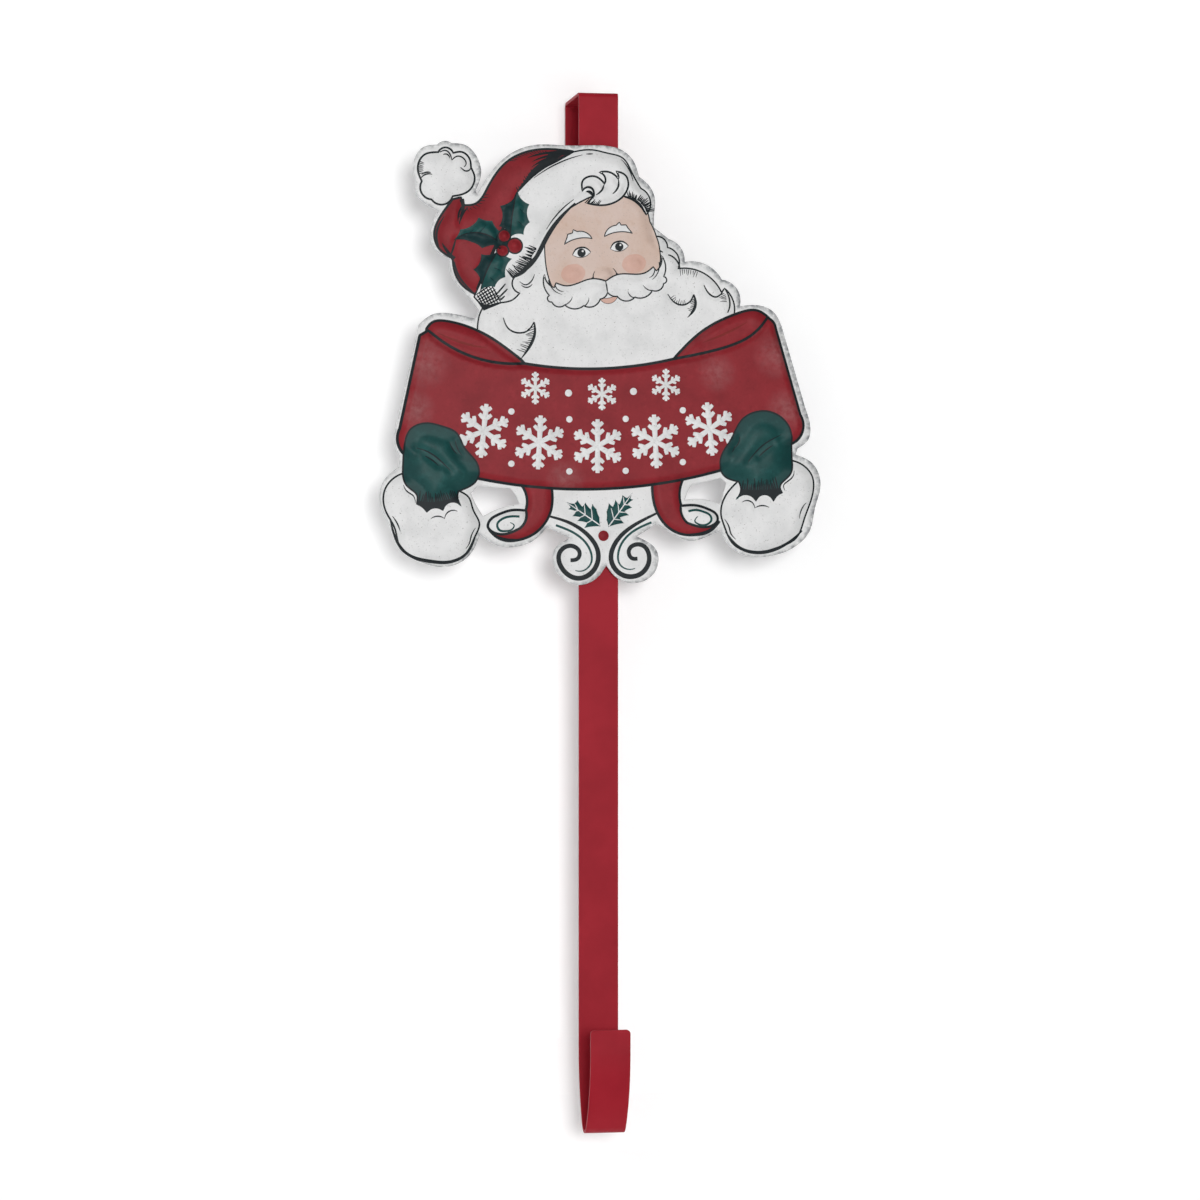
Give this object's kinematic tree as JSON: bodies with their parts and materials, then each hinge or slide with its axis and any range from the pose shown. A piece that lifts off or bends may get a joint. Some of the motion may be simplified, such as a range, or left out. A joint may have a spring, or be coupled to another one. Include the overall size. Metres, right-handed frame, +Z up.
{
  "type": "wreath hanger",
  "caption": "Over-the-door wreath hanger: a bent steel band with a bottom hook and an embossed tin plaque of a bearded winter gift-bringer holding a banner.",
  "frame": {"origin": "middle of the underside of the top bar, where the hanger sits on the door's top edge", "axes": "+Z up, -Y to the front where the plaque faces, +X to the right of someone who faces +Y"},
  "size_m": [0.25, 0.0877, 0.5801],
  "materials": {
    "hanger_band": "satin",
    "plaque": "satin",
    "clip": "satin"
  },
  "bodies": {
    "root": {"hanger_band": "hanger_band", "plaque": "plaque", "upper_clip": "clip", "lower_clip": "clip"}
  },
  "joints": []
}
